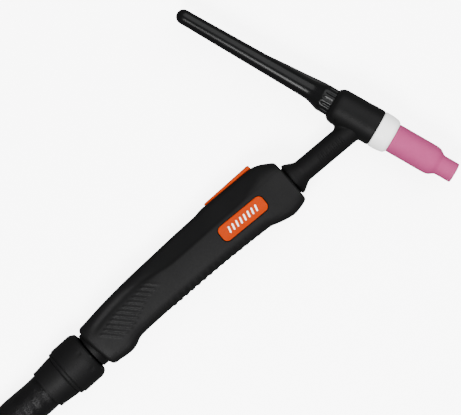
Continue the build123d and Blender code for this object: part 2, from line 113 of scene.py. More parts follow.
def finished(name, mesh, smooth_angle=35):
    """Cleans a mesh, turns its faces outwards and shades it smooth up to an angle."""
    work = bmesh.new()
    work.from_mesh(mesh)
    bmesh.ops.remove_doubles(work, verts=work.verts, dist=1e-6)
    bmesh.ops.recalc_face_normals(work, faces=work.faces)
    for edge in work.edges:
        edge.smooth = len(edge.link_faces) == 2 and edge.calc_face_angle(0) < math.radians(smooth_angle)
    work.to_mesh(mesh)
    work.free()
    mesh.polygons.foreach_set("use_smooth", [True] * len(mesh.polygons))
    piece = bpy.data.objects.new(name, mesh)
    bpy.context.collection.objects.link(piece)
    return piece


def merged(name, pieces):
    """One piece made of several, which are used up."""
    work = bmesh.new()
    for piece in pieces:
        work.from_mesh(piece.data)
        bpy.data.objects.remove(piece)
    mesh = bpy.data.meshes.new(name)
    work.to_mesh(mesh)
    work.free()
    return finished(name, mesh)


def skin_faces(rings, size, loop_across=False, around=True):
    """Quads between rings of equal size, laid one after another, that may close on the first one."""
    faces = []
    for i in range(rings if loop_across else rings - 1):
        for j in range(size if around else size - 1):
            a, b = i * size, (i + 1) % rings * size
            k = (j + 1) % size
            faces.append((a + j, a + k, b + k, b + j))
    return faces


def rounded(outline, steps=6):
    """An outline with its corners rounded. Each point is (x, y) or (x, y, rounding)."""
    points = []
    for i, corner in enumerate(outline):
        if len(corner) == 2 or i in (0, len(outline) - 1):
            points.append(Vector(corner[:2]))
            continue
        here, before, after = (Vector(p[:2]) for p in (corner, outline[i - 1], outline[i + 1]))
        cut = min(corner[2], 0.48 * (before - here).length, 0.48 * (after - here).length)
        start = here + (before - here).normalized() * cut
        end = here + (after - here).normalized() * cut
        for step in range(steps + 1):
            t = step / steps
            points.append((1 - t) ** 2 * start + 2 * t * (1 - t) * here + t * t * end)
    return points


def lathe(name, outline, matrix, around=96, step=None, shape=None, loop=True):
    """A turned piece from its outline of (x, radius) points, with a loop for a closed outline.

    shape(x, angle, radius) gives the radius that is left of it at a place."""
    line = rounded(outline)
    if loop:
        line.append(line[0])
    if step:
        line = stepped(line, step)
    rings = []
    for x, radius in line[:-1] if loop else line:
        for angle in turns(around):
            cut = shape(x, angle, radius) if shape else radius
            rings.append((x, cut * math.sin(angle), cut * math.cos(angle)))
    count = len(line) - 1 if loop else len(line)
    return make_object(name, rings, skin_faces(count, around, loop_across=loop), matrix)


def stepped(line, step):
    """The line with more points, no further apart than step."""
    out = [line[0]]
    for a, b in zip(line, line[1:]):
        parts = max(1, math.ceil((b - a).length / step))
        out += [a.lerp(b, i / parts) for i in range(1, parts + 1)]
    return out


def through(*points):
    """A smooth function of x through (x, value) points, in rising order of x."""
    slopes = []
    for i in range(len(points)):
        a, b = points[max(i - 1, 0)], points[min(i + 1, len(points) - 1)]
        slopes.append((b[1] - a[1]) / (b[0] - a[0]))

    def value(x):
        if x <= points[0][0]:
            return points[0][1]
        if x >= points[-1][0]:
            return points[-1][1]
        i = next(k for k in range(len(points)) if points[k + 1][0] >= x)
        (x0, y0), (x1, y1) = points[i], points[i + 1]
        t = (x - x0) / (x1 - x0)
        m0, m1 = slopes[i] * (x1 - x0), slopes[i + 1] * (x1 - x0)
        return ((2 * t ** 3 - 3 * t ** 2 + 1) * y0 + (t ** 3 - 2 * t ** 2 + t) * m0
                + (3 * t ** 2 - 2 * t ** 3) * y1 + (t ** 3 - t ** 2) * m1)
    return value


def fade(value, low, high):
    """0 below low, 1 above high, smooth between."""
    t = min(max((value - low) / (high - low), 0), 1)
    return t * t * (3 - 2 * t)


# ---- Cords ----
BENCH = -MID                          # the bench in a local frame, in mm
CABLE_RADIUS = 12.0
LEAD_RADIUS = 2.75
LYING = BENCH + CABLE_RADIUS
COIL_CENTRE = (-360.0, -152.7)
TURN_RADII = (156.0, 132.0, 108.0, 132.0, 156.0)
COIL_STEP = 15


def coil_point(turn, radius, height):
    """A point of the coil, that many degrees on from where the cable joins it."""
    angle = math.radians(90 + turn)
    return (COIL_CENTRE[0] + radius * math.cos(angle), COIL_CENTRE[1] + radius * math.sin(angle), height)


def coil_turns():
    """Three turns side by side on the bench, then one that climbs and lies on them."""
    points = []
    for turn in range(0, 4 * 360 - 2 * COIL_STEP + 1, COIL_STEP):
        lap, part = divmod(turn, 360)
        radius = TURN_RADII[lap] + (TURN_RADII[lap + 1] - TURN_RADII[lap]) * fade(part, 285, 360)
        climbed = 1 if lap == 3 else fade(part, 195, 285) if lap == 2 else 0
        points.append(coil_point(turn, radius, LYING + 2 * CABLE_RADIUS * climbed))
    return points


RUN_ROUTE = [
    (-188.3, SWIVEL_Y, 0.0),
    (-224.0, SWIVEL_Y, 0.0),
    (-262.0, 3.6, LYING + 1.7),
    (-305.0, 3.0, LYING),
]
TAIL_ROUTE = [
    coil_point(-12.0, 152.5, LYING + 24),
    coil_point(0.0, 156.0, LYING + 24.5),
    coil_point(14.0, 159.0, LYING + 24.5),
    coil_point(28.0, 168.0, LYING + 23.0),
    coil_point(42.0, 179.0, LYING + 15.5),
    coil_point(56.0, 186.0, LYING + 5.0),
    coil_point(70.0, 187.0, LYING + 0.3),
    coil_point(84.0, 186.5, LYING),
    (-546.0, -180.0, LYING + 1.0),
    (-545.0, -205.0, LYING + 3.5),
    (-545.0, -229.0, LYING + 3.5),
]
LEAD_ROUTE = [
    (-533.9, -225.1, BENCH + 6.0),
    (-521.0, -240.5, BENCH + 5.9),
    (-508.0, -268.0, BENCH + 3.2),
    (-499.0, -298.0, BENCH + LEAD_RADIUS),
    (-482.0, -320.0, BENCH + LEAD_RADIUS),
    (-460.0, -331.0, BENCH + 3.6),
    (-440.0, -333.2, BENCH + 6.6),
    (-420.0, -333.0, BENCH + 8.2),
    (-398.0, -333.0, BENCH + 8.2),
]
PLUG = HANDLE @ Matrix.Translation(TAIL_ROUTE[-1]) @ Matrix.Rotation(math.radians(-90), 4, "Z")
CONTROL_PLUG = HANDLE @ Matrix.Translation(LEAD_ROUTE[-1])


def spline_line(route):
    """Points of the smooth NURBS line whose control points are the route's, in the row frame."""
    curve = bpy.data.curves.new("route", "CURVE")
    curve.dimensions = "3D"
    curve.resolution_u = 12
    spline = curve.splines.new("NURBS")
    spline.points.add(len(route) - 1)
    for point, place in zip(spline.points, route):
        point.co = (*at(HANDLE, *place), 1)
    spline.order_u = 3
    spline.use_endpoint_u = True
    holder = bpy.data.objects.new("route", curve)
    mesh = bpy.data.meshes.new_from_object(holder)
    line = [v.co.copy() for v in mesh.vertices]
    bpy.data.objects.remove(holder)
    bpy.data.curves.remove(curve)
    bpy.data.meshes.remove(mesh)
    return line


def respaced(line, fine, fine_length, coarse):
    """The line with points at a fine step over its first stretch, then at a coarse one."""
    along = [0.0]
    for a, b in zip(line, line[1:]):
        along.append(along[-1] + (b - a).length)
    places, place = [], 0.0
    while place < along[-1] - coarse / 2:
        places.append(place)
        place += fine if place < fine_length else coarse
    places.append(along[-1])
    out, i = [], 0
    for place in places:
        while i < len(along) - 2 and along[i + 1] < place:
            i += 1
        out.append(line[i].lerp(line[i + 1], (place - along[i]) / max(along[i + 1] - along[i], 1e-9)))
    return out, places


def cord_tube(name, line, places, radius, around, bulge=None):
    """A closed tube along a line; bulge(distance, angle) adds to its radius."""
    across = Vector((0, 0, 1))
    points = []
    for i, centre in enumerate(line):
        ahead = (line[min(i + 1, len(line) - 1)] - line[max(i - 1, 0)]).normalized()
        across = (across - ahead * across.dot(ahead)).normalized()
        side = ahead.cross(across)
        for angle in turns(around):
            out = radius + (bulge(places[i], angle) if bulge else 0)
            points.append(centre + out * (math.cos(angle) * across + math.sin(angle) * side))
    faces = skin_faces(len(line), around)
    faces += [tuple(range(around)), tuple(range(len(points) - around, len(points)))]
    return make_object(name, points, faces, Matrix.Identity(4), smooth_angle=50)


def jacket_bulge(distance, angle):
    """Soft folds of the leather jacket, the lengthwise lap that closes it, and gathers at the clamp."""
    place = Vector((math.cos(angle) * 0.7, math.sin(angle) * 0.7, distance * 42))
    folds = noise.noise(place * 1.6) * 0.00035 + noise.noise(place * 4.1) * 0.00016
    lap = 0.00035 * fade(math.cos(angle - 2.4), 0.93, 0.98)
    near_clamp = fade(distance, 0.010, 0.018) * (1 - fade(distance, 0.03, 0.09))
    phase = distance * 700 + 2.6 * math.cos(angle - 0.9) + 4.0 * noise.noise(place)
    gathers = 0.00032 * math.sin(phase) * fade(math.cos(angle), 0.1, 0.8)
    return folds + lap + gathers * near_clamp - 0.0001


def make_cable():
    """The jacketed cable from the clamp to its boot, its line and its length."""
    route = RUN_ROUTE + coil_turns() + TAIL_ROUTE
    line, places = respaced(spline_line(route), 0.0008, 0.11, 0.004)
    cable = cord_tube("cable", line, places, CABLE_RADIUS * MM, 48, jacket_bulge)
    return cable, line, places[-1]


def make_lead():
    """The control lead from the boot's port to its plug, its line and its length."""
    line, places = respaced(spline_line(LEAD_ROUTE), 0.002, 0.05, 0.002)
    return cord_tube("control_lead_cord", line, places, LEAD_RADIUS * MM, 20), line, places[-1]


cable, cable_line, cable_length = make_cable()
lead, lead_line, lead_length = make_lead()


# ---- Booleans and prisms ----
def shade(mesh, smooth_angle=35):
    """Shades a mesh smooth, with its sharper edges kept."""
    work = bmesh.new()
    work.from_mesh(mesh)
    for edge in work.edges:
        edge.smooth = len(edge.link_faces) == 2 and edge.calc_face_angle(0) < math.radians(smooth_angle)
    work.to_mesh(mesh)
    work.free()
    mesh.polygons.foreach_set("use_smooth", [True] * len(mesh.polygons))


def boolean(piece, tool, operation="DIFFERENCE", smooth_angle=35):
    """Cuts, joins or crosses a piece with a tool, which is used up."""
    modifier = piece.modifiers.new("cut", "BOOLEAN")
    modifier.operation = operation
    modifier.solver = "EXACT"
    modifier.object = tool
    bpy.context.view_layer.update()
    result = bpy.data.meshes.new_from_object(piece.evaluated_get(bpy.context.evaluated_depsgraph_get()))
    piece.modifiers.clear()
    piece.data = result
    result.materials.clear()
    shade(result, smooth_angle)
    bpy.data.objects.remove(tool)
    return piece


def rounded_rectangle(width, height, corner, steps=8):
    """A function that gives the rectangle's outline, grown by an offset."""
    def outline(offset):
        radius = max(corner + offset, 0.05)
        half = (width / 2 + offset - radius, height / 2 + offset - radius)
        points = []
        for i, (sx, sy) in enumerate(((1, 1), (-1, 1), (-1, -1), (1, -1))):
            for k in range(steps + 1):
                angle = math.pi / 2 * (i + k / steps)
                points.append((sx * half[0] + radius * math.cos(angle),
                               sy * half[1] + radius * math.sin(angle)))
        return points
    return outline


def prism(name, outline, levels, matrix, smooth_angle=35):
    """A closed solid from an outline at each level of (height, offset)."""
    points, size = [], len(outline(0))
    for height, offset in levels:
        points += [(x, y, height) for x, y in outline(offset)]
    faces = skin_faces(len(levels), size)
    faces += [tuple(range(size)), tuple(range(len(points) - size, len(points)))]
    return make_object(name, points, faces, matrix, smooth_angle)


# ---- Handle shells ----
WALL = 2.4
SEAM_GAP = 0.06                       # from the mid-plane to each shell's edge
NECK_HOLE, SWIVEL_HOLE = 7.7, 12.35
HANDLE_REAR_X = -161.8
HANDLE_FRONT_X = -2.5
SPINE = through((-162, 18.3), (-155, 19.0), (-140, 20.6), (-120, 21.9), (-100, 22.5), (-80, 23.0),
                (-61, 23.25), (-57.5, 23.8), (-50, 24.0), (-30, 23.3), (-20, 22.9), (-15, 22.2),
                (-10, 20.2), (-5, 17.0), (-2.5, 15.2))
KEEL = through((-162, -12.4), (-156, -12.6), (-149, -13.3), (-144, -13.4), (-141, -12.7), (-138, -11.3),
               (-134, -10.2), (-120, -9.8), (-95, -9.9), (-70, -10.4), (-50, -11.4), (-36, -12.3),
               (-30, -12.9), (-25, -14.6), (-20, -16.0), (-14, -17.05), (-9, -16.4), (-5, -15.4),
               (-2.5, -14.2))
CREASE = through((-162, 12), (-154, 14.4), (-143, 16.2), (-130, 17.2), (-122, 16.6), (-114, 15.0),
                 (-103, 12.3), (-97, 11.0), (-90, 10.2), (-60, 10.0), (-35, 10.0), (-24, 11.4),
                 (-16, 13.2), (-10, 13.2), (-6, 12.2), (-2.5, 10.0))
CREASE_SOFTNESS = through((-162, 7), (-140, 6), (-124, 2.5), (-112, 1.0), (-35, 1.0), (-22, 3), (-10, 6),
                          (-2.5, 5))
SIDE = through((-162, 14.8), (-154, 15.6), (-143, 15.9), (-110, 15.8), (-80, 16.0), (-55, 16.2),
               (-25, 16.2), (-15, 15.8), (-8, 14.8), (-2.5, 13.4))
SPINE_HALF = through((-162, 10.5), (-140, 13.0), (-124, 12.4), (-108, 9.4), (-80, 7.6), (-62, 7.8),
                     (-52, 8.4), (-30, 8.4), (-14, 9.0), (-2.5, 9))
SIDE_CROWN = 0.7
LOWER_RELIEF = 0.48                   # flatter crown and ribs on the shell that rests on the bench
RIB_ANGLE = math.radians(47)
RIB_HEIGHT = 0.7
RIB_PITCH = 4.25
RIB_START = -141.8
RIB_TOP = through((-158, 7.0), (-148, 9.0), (-140, 11.4), (-125, 12.2), (-112, 13.6), (-104, 14.0))
RIB_FOOT = through((-152, 2.5), (-145, -3.5), (-138, -4.2), (-132, -3.0), (-124, 0.2), (-116, 3.2),
                   (-104, 5.4))
VALLEY = through((-160, 10.0), (-145, 13.4), (-125, 15.2), (-112, 15.0), (-99, 12.5))
VALLEY_DEPTH = 0.75
SERRATION_PITCH = 4.8
SERRATION_HEIGHT = through((-112, 0), (-106, 0.5), (-85, 0.6), (-60, 0.38), (-36, 0.16), (-31, 0))
SLOT = (-53.1, -15.2, 6.4)            # from, to and half its width
BADGE_PLACE = (-40.0, 2.3)
BADGE_TILT = math.radians(-2.1)
BADGE_OUTLINE = rounded_rectangle(34.5, 10.4, 3.3)
BADGE_BARS, BAR_PITCH = 8, 3.0
SCREW_PLACES = ((-14.5, -10.5), (-86.0, -5.0), (-132.0, 13.0))
HOLE_RINGS = 3                        # rings of the outer skin besides its stations
OUTER_TO_INNER = 4                    # quads of the outer skin to each one of the inner skin


def spread(line, count):
    """Evenly spaced points along a line."""
    along = [0.0]
    for a, b in zip(line, line[1:]):
        along.append(along[-1] + (b - a).length)
    points, i = [], 0
    for k in range(count + 1):
        place = along[-1] * k / count
        while i < len(line) - 2 and along[i + 1] < place:
            i += 1
        points.append(line[i].lerp(line[i + 1], (place - along[i]) / (along[i + 1] - along[i])))
    return points


def half_section(x, inset, count):
    """Points (across, up) of half the handle's section, from the spine to the keel."""
    side, spine, keel = SIDE(x) - inset, SPINE(x) - inset, KEEL(x) + inset
    outline = [(0, spine), (SPINE_HALF(x) - 0.6 * inset, spine, 5.5),
               (side, min(CREASE(x), spine - 4), CREASE_SOFTNESS(x)), (side, keel, 8.5), (0, keel)]
    return spread(rounded(outline, 10), count)


def rib(x, y):
    """Height of the slanted grip ribs at a place on the side."""
    turn = (x + y / math.tan(RIB_ANGLE) - RIB_START) / RIB_PITCH
    ends = fade(turn, -2.2, -0.4) * (1 - fade(turn, 9.4, 10.8))
    within = fade(y, RIB_FOOT(x), RIB_FOOT(x) + 2.6) * (1 - fade(y, RIB_TOP(x) - 2.4, RIB_TOP(x)))
    return RIB_HEIGHT * (0.5 + 0.5 * math.cos(2 * math.pi * turn)) ** 1.6 * ends * within


def valley(x, y):
    """Depth of the soft groove that runs over the ribs and ends in the crease."""
    ends = fade(x, -160, -148) * (1 - fade(x, -110, -99))
    return VALLEY_DEPTH * ends * math.exp(-((y - VALLEY(x)) / 2.0) ** 2)


def serration(x, y):
    """Height of the finger ridges across the keel."""
    wave = (0.5 + 0.5 * math.cos(2 * math.pi * (x + 101.2) / SERRATION_PITCH)) ** 1.3
    return SERRATION_HEIGHT(x) * wave * (1 - fade(y - KEEL(x), 1.0, 4.5))


def leaning(x, y):
    """x moved so that the shells' rear end leans, and more below the swivel's axis than above it."""
    lean = 0.045 if y > SWIVEL_Y else 0.16
    return x + lean * (SWIVEL_Y - y) * (1 - fade(x, -160, -148))


def outer_ring(x, inset, count, relief):
    """One shell's detailed outer skin at x, as (x, up, across) points. Relief raises its crown and ribs."""
    flat = half_section(x, inset, count)
    length = sum((b - a).length for a, b in zip(flat, flat[1:]))
    ring = []
    for k, here in enumerate(flat):
        ahead = flat[min(k + 1, count)] - flat[max(k - 1, 0)]
        normal = Vector((-ahead.y, ahead.x)).normalized()
        from_seam = min(k, count - k) * length / count
        middle = (CREASE(x) + KEEL(x)) / 2 + 1.5
        crown = SIDE_CROWN * fade(here.x, SIDE(x) - 2, SIDE(x)) * max(0, 1 - ((here.y - middle) / 11) ** 2)
        out = relief * (rib(x, here.y) * fade(here.x, 12, 14) + crown) + serration(x, here.y)
        out -= valley(x, here.y) + 0.4 * (1 - fade(from_seam, 0.15, 0.75))
        place = here + normal * out
        ring.append((leaning(x, place.y), place.y, max(place.x, SEAM_GAP)))
    return ring


def hole_ring(x, centre_y, radius, count):
    """Half of a round hole's edge, from the spine's side to the keel's."""
    ring = []
    for k in range(count + 1):
        angle = math.pi * k / count
        y = centre_y + radius * math.cos(angle)
        ring.append((leaning(x, y), y, max(radius * math.sin(angle), SEAM_GAP)))
    return ring


def shell_stations():
    """(x, inset) of the outer skin's rings, from the front face to the rear one, with its rounded ends."""
    front, rear = 1.3, 3.0
    stations = [(HANDLE_FRONT_X, front + 0.4)]
    for k in range(6):
        angle = math.pi / 2 * k / 5
        stations.append((HANDLE_FRONT_X - front * (1 - math.cos(angle)), front * (1 - math.sin(angle))))
    x = HANDLE_FRONT_X - front
    while x > HANDLE_REAR_X + rear + 0.6:
        x -= 0.5 if -157 < x < -29 else 0.7
        stations.append((x, 0.0))
    for k in range(9):
        angle = math.pi / 2 * (1 - k / 8)
        stations.append((HANDLE_REAR_X + rear * (1 - math.cos(angle)), rear * (1 - math.sin(angle))))
    while (len(stations) + HOLE_RINGS - 1) % OUTER_TO_INNER:
        x, inset = stations[20]
        stations.insert(20, ((x + stations[19][0]) / 2, inset))
    return stations


def shell(name, side, relief, count=112):
    """One half of the handle, as a closed wall: an outer skin, an inner one and the seam faces."""
    stations = shell_stations()
    outer = [hole_ring(HANDLE_FRONT_X, 0, radius, count) for radius in (NECK_HOLE, NECK_HOLE + 1.5)]
    outer += [outer_ring(x, inset, count, relief) for x, inset in stations]
    outer.append(hole_ring(HANDLE_REAR_X, SWIVEL_Y, SWIVEL_HOLE, count))
    blocks, few = (len(outer) - 1) // OUTER_TO_INNER, count // OUTER_TO_INNER
    front, rear = HANDLE_FRONT_X - WALL, HANDLE_REAR_X + WALL
    inner = [hole_ring(front, 0, NECK_HOLE, few)]
    for i in range(1, blocks):
        x = front + (rear - front) * (i - 1) / (blocks - 2)
        inner.append([(leaning(x, p.y), p.y, max(p.x, SEAM_GAP)) for p in half_section(x, WALL, few)])
    inner.append(hole_ring(rear, SWIVEL_Y, SWIVEL_HOLE, few))

    points = [p for ring in outer for p in ring]
    start = len(points)
    points += [p for ring in inner for p in ring]
    wide, narrow = count + 1, few + 1
    faces = skin_faces(len(outer), wide, around=False)
    faces += [tuple(start + v for v in face) for face in skin_faces(len(inner), narrow, around=False)]
    finer = range(OUTER_TO_INNER + 1)
    for i in range(blocks):
        for edge, inner_edge in ((0, 0), (count, few)):
            long_side = [(OUTER_TO_INNER * i + k) * wide + edge for k in finer]
            last = start + i * narrow + inner_edge
            faces.append((*long_side, last + narrow, last))
    for i in range(few):
        for ring, inner_ring in ((0, 0), (len(outer) - 1, len(inner) - 1)):
            long_side = [ring * wide + OUTER_TO_INNER * i + k for k in finer]
            last = start + inner_ring * narrow + i
            faces.append((*long_side, last + 1, last))
    mirrored = [(x, up, side * across) for x, up, across in points]
    return make_object(name, mirrored, faces, HANDLE, smooth_angle=40)


def slot_cutter():
    """The trigger's slot, with a small chamfer round its top."""
    middle = (SLOT[0] + SLOT[1]) / 2
    upright = HANDLE @ Matrix.Translation((middle, 0, 0)) @ Matrix.Rotation(math.radians(-90), 4, "X")
    outline = rounded_rectangle(SLOT[1] - SLOT[0], 2 * SLOT[2], 1.6)
    return prism("slot", outline, [(15, 0), (22.9, 0), (24.6, 0.5), (30, 0.5)], upright)


def badge_matrix():
    """The badge's middle, on the torch's mid-plane."""
    return HANDLE @ Matrix.Translation((*BADGE_PLACE, 0)) @ Matrix.Rotation(BADGE_TILT, 4, "Z")


def make_shells():
    """Both shells, with the screws' bosses and bores, the trigger's slot and the badge's recess."""
    left, right = shell("shell_left_body", 1, 1.0), shell("shell_right_body", -1, LOWER_RELIEF)
    for x, y in SCREW_PLACES:
        downward = HANDLE @ Matrix.Translation((x, y, 0)) @ Matrix.Rotation(math.radians(90), 4, "Y")
        boss = lathe("boss", [(0.4, 1.5), (0.4, 3.3), (13.0, 3.3), (13.0, 1.5)], downward, around=40)
        boolean(right, boss, "UNION")
        bore = [(11.5, 0), (11.5, 2.9), (14.9, 2.9), (17, 3.3), (17, 0)]
        boolean(right, lathe("bore", bore, downward, around=40))
    for piece in (left, right):
        boolean(piece, slot_cutter())
    levels = [(15.65, 0.5), (16.5, 0.5), (16.95, 0.75), (18, 0.75)]
    boolean(left, prism("recess", BADGE_OUTLINE, levels, badge_matrix()))
    return left, right


def make_badge():
    """The badge's plate, with a low rim and a flat field."""
    levels = [(15.7, 0), (16.6, 0), (16.8, -0.1), (16.92, -0.35), (16.92, -0.75), (16.8, -0.95),
              (16.78, -3.5)]
    return prism("badge_plate", BADGE_OUTLINE, levels, badge_matrix(), smooth_angle=50)


def make_badge_bars():
    """A row of plain slanted bars that stand a little out of the badge."""
    bars = []
    lean = Matrix.Rotation(-0.25, 4, "Z")
    levels = [(16.3, 0), (16.84, 0), (16.93, -0.12)]
    for k in range(BADGE_BARS):
        place = badge_matrix() @ Matrix.Translation((BAR_PITCH * (k - (BADGE_BARS - 1) / 2), 0, 0)) @ lean
        bars.append(prism("bar", rounded_rectangle(1.0, 4.2, 0.4, 4), levels, place))
    return merged("badge_bars", bars)


def make_trigger():
    """The button that shows through the slot, with a softly rounded top."""
    middle, length = (SLOT[0] + SLOT[1]) / 2, SLOT[1] - SLOT[0] - 1.2
    upright = HANDLE @ Matrix.Translation((middle, 0, 0)) @ Matrix.Rotation(math.radians(-90), 4, "X")
    levels = [(20.0, 0), (23.9, 0), (24.4, -0.08), (24.75, -0.3), (25.0, -0.7), (25.1, -1.2), (25.1, -4.0)]
    return prism("trigger_button", rounded_rectangle(length, 12, 1.5), levels, upright, smooth_angle=50)


# ---- Swivel, collar and clamp ----
def make_swivel_pieces():
    """The swivel's seat in the handle, the collar, the collar's rim and the cable's clamp ring."""
    ring = lathe("socket_ring_body", [
        (-164.6, 10.0), (-164.6, 12.1, 0.5), (-157.0, 12.1), (-157.0, 12.9), (-150.2, 12.9), (-150.2, 11.7),
        (-158, 10.4)], SWIVEL, around=96)
    collar = lathe("collar_body", [
        (-184.2, 6.1), (-184.2, 15.75), (-183.75, 16.2, 0.2), (-183.2, 16.35, 0.3), (-168.9, 16.35, 1.6),
        (-165.9, 14.6, 1.6), (-165.5, 12.9), (-170, 12.75), (-170, 6.1)], SWIVEL, around=128, step=2,
        shape=collar_marks)
    rim = lathe("collar_rim", [
        (-186.5, 6.1), (-186.5, 15.2), (-186.0, 15.7, 0.4), (-184.5, 15.7, 0.2), (-184.3, 15.4),
        (-183.9, 15.4), (-183.9, 6.1)], SWIVEL, around=128)
    clamp = lathe("clamp_ring_body", [
        (-186.6, 8.4), (-186.6, 14.1), (-187.5, 14.6, 0.5), (-199.6, 13.3, 0.3), (-200.2, 13.45, 0.3),
        (-201.0, 13.35, 0.4), (-201.0, 12.35), (-188.3, 12.35), (-188.3, 8.4)], SWIVEL, around=128, step=2)
    return ring, collar, rim, clamp


def collar_marks(x, angle, radius):
    """Eight shallow thumb hollows round the front of the collar."""
    if radius < 15:
        return radius
    turn = math.cos(4 * angle - math.pi / 3.2) ** 2
    return radius - 0.35 * fade(turn, 0.9, 1.0) * fade(x, -171.5, -170.4) * (1 - fade(x, -169.4, -168.6))


# ---- Head ----
BARREL_RADIUS = 11.75
HANDLE_DROP = (HEAD_ORIGIN.y - HANDLE.translation.y) / MM
NECK_BARS, NECK_BAR_PITCH = 7, 2.9
CAP_FLUTES = 14
FIN_CREST = through((-62, 5.3), (-57, 5.8), (-45, 6.75), (-32, 7.65), (-22, 8.5), (-18, 8.75), (-15.4, 8.5))


def cap_flutes(x, angle, radius):
    """The flutes of the back cap's collar."""
    flute = (0.5 + 0.5 * math.cos(CAP_FLUTES * angle)) ** 1.5
    return radius - 0.65 * flute * fade(x, -17.5, -14.2) if radius > 4.5 else radius


def cap_fin():
    """The back cap's fin, which stops it rolling: a narrow wedge that tapers towards the tip."""
    first, last, count = -62.0, -15.4, 40
    root, points = 4.6, []
    for k in range(count + 1):
        x = first + (last - first) * k / count
        crest = FIN_CREST(x)
        foot = 0.4 + 0.36 * (crest - root)
        section = [(root, -foot), (crest - 0.3, -0.4), (crest - 0.07, -0.25), (crest, 0),
                   (crest - 0.07, 0.25), (crest - 0.3, 0.4), (root, foot)]
        points += [(x, y, z) for y, z in section]
    size = len(section)
    faces = skin_faces(count + 1, size)
    faces += [tuple(range(size)), tuple(range(len(points) - size, len(points)))]
    return make_object("fin", points, faces, HEAD, smooth_angle=50)


def make_back_cap():
    """The long back cap with its rounded tip, its hollow stub, its fluted collar and its fin."""
    end, radius = -120.8, 4.8
    round_the_tip = (1.57, 1.2, 0.9, 0.6, 0.3, 0.0)
    tip = [(end + radius * (1 - math.cos(a)), radius * math.sin(a)) for a in round_the_tip]
    outline = [(-9.3, 4.3), (-9.3, 8.7), (-9.5, 8.8), (-16.4, 8.8, 0.8), (-17.6, 8.55, 0.8), (-19, 8.0, 1.5),
               (-24.2, 6.3, 2.5), (-30, 6.05), (-60, 5.6), (-90, 5.15), (-110, 4.82)] + tip
    outline += [(-117.8, 0), (-117.8, 1.9), (1, 1.9), (1, 4.3)]
    cap = lathe("back_cap_body", outline, HEAD, around=224, step=1.5, shape=cap_flutes)
    return boolean(cap, cap_fin(), "UNION", smooth_angle=32)


def mould_barrel():
    """The head's mould, a barrel with rounded ends."""
    return lathe("head_mould_body", [
        (-8.0, 8.05), (-9.28, 8.2), (-9.28, 9.3, 0.6), (-6.8, 11.3, 1.4), (-4.4, 11.7, 1.0), (12.0, 11.75),
        (15.5, 11.95), (21.6, 11.95, 0.7), (22.3, 11.1, 0.3), (22.3, 8.05)], HEAD, around=128, step=1.5)


def mould_neck():
    """The neck's mould: a tube that flares at the handle and opens in a fillet on the barrel."""
    fillet, radius, around = 2.4, 7.25, 128
    foot, bore, sunk = -2.4, 4.6, 1.6
    profile = rounded([(foot, 7.0), (foot, 9.6), (-1.5, 9.6), (-1.5, 10.6, 0.3), (-1.1, 10.8, 0.3),
                       (0.4, 10.8, 0.9), (6.6, 7.3, 4), (9, radius)], 6)
    rings = [[(x, r * math.sin(a), r * math.cos(a)) for a in turns(around)] for x, r in profile]
    for k in range(9):
        angle = math.pi / 2 * (1 - k / 8)
        grown, short = radius + fillet * (1 - math.sin(angle)), fillet * (1 - math.cos(angle))
        rings.append([on_neck(a, grown, -short, radius + fillet) for a in turns(around)])
    rings.append([on_neck(a, radius + fillet - 0.4, sunk, radius + fillet) for a in turns(around)])
    rings.append([on_neck(a, bore, sunk, radius) for a in turns(around)])
    rings.append([(foot, bore * math.sin(a), bore * math.cos(a)) for a in turns(around)])
    points = [p for ring in rings for p in ring]
    return make_object("neck", points, skin_faces(len(rings), around, loop_across=True), NECK)


def on_neck(angle, radius, beyond, meeting_radius):
    """A point round the neck, that far beyond where a tube of the meeting radius reaches the barrel."""
    across = meeting_radius * math.cos(angle)
    side = meeting_radius * math.sin(angle)
    level = math.sqrt(BARREL_RADIUS ** 2 - across ** 2)
    reach = (HANDLE_DROP - level - side * math.cos(NECK_ANGLE)) / math.sin(NECK_ANGLE)
    return (reach + beyond, radius * math.sin(angle), radius * math.cos(angle))


def make_head_mould():
    """The insulating mould round head and neck, with a row of low bars on the neck."""
    body = boolean(mould_barrel(), mould_neck(), "UNION", smooth_angle=30)
    for k in range(NECK_BARS):
        place = NECK @ Matrix.Translation((20.5 + NECK_BAR_PITCH * k, -0.8, 0))
        bar = prism("bar", rounded_rectangle(1.1, 4.4, 0.5, 4), [(5, 0), (7.45, 0), (7.7, -0.2)], place)
        boolean(body, bar, "UNION", smooth_angle=30)
    return body


def make_gasket_and_cup():
    """The gasket in the head's mouth, and the cup that bears on it."""
    gasket = lathe("cup_gasket_body", [
        (22.2, 8.1), (22.2, 10.9), (22.4, 11.5, 0.2), (22.9, 11.88, 0.3), (24, 11.9), (28.0, 11.9, 2.5),
        (32.2, 11.2, 2.5), (33.6, 9.9, 0.5), (33.7, 9.4), (33.7, 6.7), (24.2, 6.7), (24.2, 8.1)],
        HEAD, around=128)
    cup = lathe("gas_cup", [
        (33.85, 6.7), (33.85, 9.2), (34.2, 9.45, 0.2), (60.5, 9.45, 1.5), (63.5, 9.0, 2.2), (66.6, 6.8, 1.8),
        (68.0, 6.5, 0.8), (77.3, 6.5, 0.5), (78, 6.05, 0.5), (77.9, 5.2, 0.4), (77.0, 4.75), (66, 4.75),
        (58, 6.7)], HEAD, around=128, step=1.5)
    return gasket, cup


